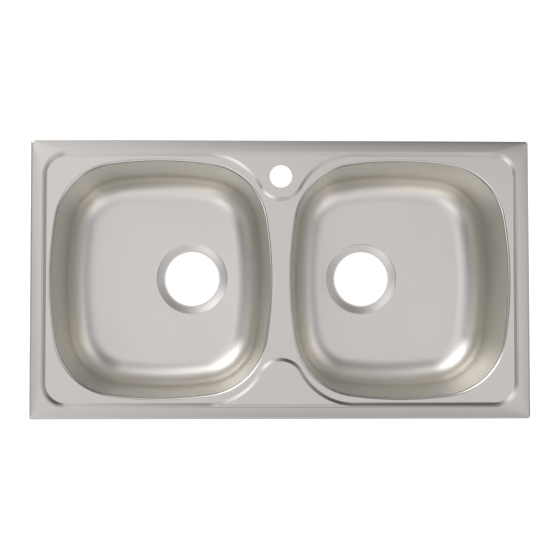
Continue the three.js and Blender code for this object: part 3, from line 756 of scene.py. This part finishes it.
def build_folded(name, node, body, finish, softening):
    """A folded piece with the burr taken off its cut edges, on the solid's own shape."""
    mesh = bpy.data.objects[node].data.copy()
    mesh.name = name
    shape = bmesh.new()
    shape.from_mesh(mesh)
    bmesh.ops.remove_doubles(shape, verts=shape.verts, dist=2e-6)
    bmesh.ops.dissolve_limit(shape, angle_limit=math.radians(1), verts=shape.verts, edges=shape.edges)
    shape.to_mesh(mesh)
    shape.free()
    mesh.materials.clear()
    mesh.materials.append(finish)
    mesh.shade_smooth()
    made = bpy.data.objects.new(name, mesh)
    bpy.context.scene.collection.objects.link(made)
    edge = made.modifiers.new("edge", "BEVEL")
    edge.width, edge.segments, edge.limit_method = softening * MM, 3, "ANGLE"
    edge.angle_limit = math.radians(32)
    made.modifiers.new("normals", "WEIGHTED_NORMAL")
    made.data = settled(made)
    made.modifiers.clear()
    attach(made, body)
    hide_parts(node)


def turned(profile, sides):
    """A turned body about Y, from its profile of (radius, y) points, closed at both ends."""
    body = Sheet()
    loops = []
    for radius, y in profile:
        first = len(body.points)
        for k in range(sides):
            a = math.tau * k / sides
            body.points.append((radius * math.sin(a), y, radius * math.cos(a)))
        loops.append(list(range(first, len(body.points))))
    body.strips(loops)
    body.faces += [tuple(loops[0][::-1]), tuple(loops[-1])]
    return body


def place_piece(name, node, body, shape, spot, finish):
    """Puts a piece made in the clip's own frame, in millimetres, into its place."""
    shape.points = [tuple((spot @ Vector(p)) * MM) for p in shape.points]
    made = shape.piece(name, finish, body, sharp=32)
    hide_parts(node)


def rivet_shape():
    shoulder, pin, head_radius = 7.3, 2.0, 3.2
    head = [(head_radius * math.cos(a), -shoulder - 0.35 - 0.85 * math.sin(a))
            for a in (math.radians(90 - 10 * k) for k in range(1, 10))]
    tail = eased([(2.9, shoulder), (2.9, shoulder + 0.7), (0.3, shoulder + 0.7)], {1: 0.45}, 4)
    between = [(head_radius, -shoulder), (pin, -shoulder), (pin, shoulder)]
    return turned([(0.3, -shoulder - 1.2), *head, *between, *tail], 32)


def screw_shape():
    """The screw along Y, head down, with its thread as a helical ridge and a slot across its head."""
    mean = (PIVOT_DROP + 0.5 * sum(
        SCREW_OFFSET * math.sin(t) + PIVOT_DROP * (1 - math.cos(t)) for t in (ARM_TILT, -ARM_TILT)
    ) / math.cos(ARM_TILT))
    tip_gap = 0.3 + mean - PIVOT_DROP
    tip = (PIVOT_DROP - SCREW_OFFSET * math.sin(ARM_TILT)) / math.cos(ARM_TILT) - tip_gap
    seat = tip - SCREW_LENGTH
    head_end = seat - 2.6
    sides, pitch, crest, root = 24, 0.7, 2.0, 1.62
    start, end = seat + 0.5, tip - 1.0
    rows = round((end - start) / (pitch / 6))

    def thread_radius(y, k):
        turns = (y / pitch - k / sides) % 1.0
        ridge = min(1.0, 2.6 * abs(turns - 0.5))
        fade = min(1.0, (y - start) / 1.2)
        return crest - (crest - root) * fade * (1 - ridge)

    head = eased([(0.4, head_end), (3.6, head_end), (3.6, seat), (crest, seat)], {1: 0.8, 2: 0.2}, 5)
    loops = [(y, [radius] * sides) for radius, y in (*head, (crest, seat + 0.02))]
    for row in range(rows + 1):
        y = start + (end - start) * row / rows
        loops.append((y, [thread_radius(y, k) for k in range(sides)]))
    loops += [
        (y, [radius] * sides) for radius, y in ((1.55, tip - 0.75), (0.9, tip - 0.05), (0.75, tip))
    ]
    screw = Sheet()
    for y, radii in loops:
        for k, radius in enumerate(radii):
            a = math.tau * k / sides
            screw.points.append((radius * math.sin(a), y, radius * math.cos(a)))
    rings = [list(range(i * sides, (i + 1) * sides)) for i in range(len(loops))]
    screw.strips(rings)
    screw.faces += [tuple(rings[0][::-1]), tuple(rings[-1])]
    return cut_slot(screw, head_end)


def cut_slot(screw, head_end):
    """Cuts the driver's slot, 1 mm wide and 1.3 mm deep, across the head."""
    mesh = bpy.data.meshes.new("screw_blank")
    mesh.from_pydata(screw.points, [], screw.faces)
    blank = bpy.data.objects.new("screw_blank", mesh)
    half_width, depth, reach = 0.5, 1.3, 5.4
    corners = [
        (sx * half_width, head_end + sy * depth, sz * reach)
        for sx in (-1, 1) for sy in (-1, 1) for sz in (-1, 1)
    ]
    sides = [(0, 1, 3, 2), (4, 6, 7, 5), (0, 4, 5, 1), (2, 3, 7, 6), (0, 2, 6, 4), (1, 5, 7, 3)]
    blade_mesh = bpy.data.meshes.new("slot_blade")
    blade_mesh.from_pydata(corners, [], sides)
    blade = bpy.data.objects.new("slot_blade", blade_mesh)
    for part in (blank, blade):
        bpy.context.scene.collection.objects.link(part)
    cut = blank.modifiers.new("slot", "BOOLEAN")
    cut.object, cut.operation, cut.solver = blade, "DIFFERENCE", "EXACT"
    result = settled(blank)
    screw.points = [tuple(v.co) for v in result.vertices]
    screw.faces = [tuple(p.vertices) for p in result.polygons]
    for part in (blank, blade):
        bpy.data.objects.remove(part)
    return screw


def build_clip(number, x, y, turn, deck_top, finish):
    height = deck_top - SHEET - 0.3 - PIVOT_DROP - 1.2
    clip = Matrix.Translation((x, y, height)) @ Matrix.Rotation(turn, 4, "Z")
    foot = Vector((-math.cos(ARM_TILT), 0, math.sin(ARM_TILT))) * SCREW_OFFSET
    lean = Matrix.Rotation(ARM_TILT, 4, "Y") @ Matrix.Rotation(math.pi / 2, 4, "X")
    claw, screw = f"claw_{number}", f"screw_{number}"
    build_folded(f"bracket_{number}", f"clip_bracket_{number}", "sink", finish, 0.18)
    build_folded(f"folded_claw_{number}", f"clip_claw_{number}", claw, finish, 0.3)
    place_piece(f"rivet_{number}", f"clip_rivet_{number}", "sink", rivet_shape(), clip, finish)
    on_axis = clip @ Matrix.Translation(foot) @ lean
    place_piece(f"threaded_screw_{number}", f"clip_screw_{number}", screw, screw_shape(), on_axis, finish)


clip_finish = zinc_plate()
CORNER_X, CORNER_Y, LEDGE_Y = HALF_LENGTH - 33, HALF_DEPTH - 60.5, HALF_DEPTH - 25.5
for number, (x, y, turn, deck_top) in enumerate((
    (CORNER_X, -CORNER_Y, 0, BASIN_TOP), (CORNER_X, CORNER_Y, 0, BASIN_TOP),
    (42, LEDGE_Y, math.pi / 2, LEDGE_TOP), (-42, LEDGE_Y, math.pi / 2, LEDGE_TOP),
    (-CORNER_X, CORNER_Y, math.pi, BASIN_TOP), (-CORNER_X, -CORNER_Y, math.pi, BASIN_TOP),
    (-42, -LEDGE_Y, -math.pi / 2, LEDGE_TOP), (42, -LEDGE_Y, -math.pi / 2, LEDGE_TOP),
), 1):
    build_clip(number, x, y, turn, deck_top, clip_finish)
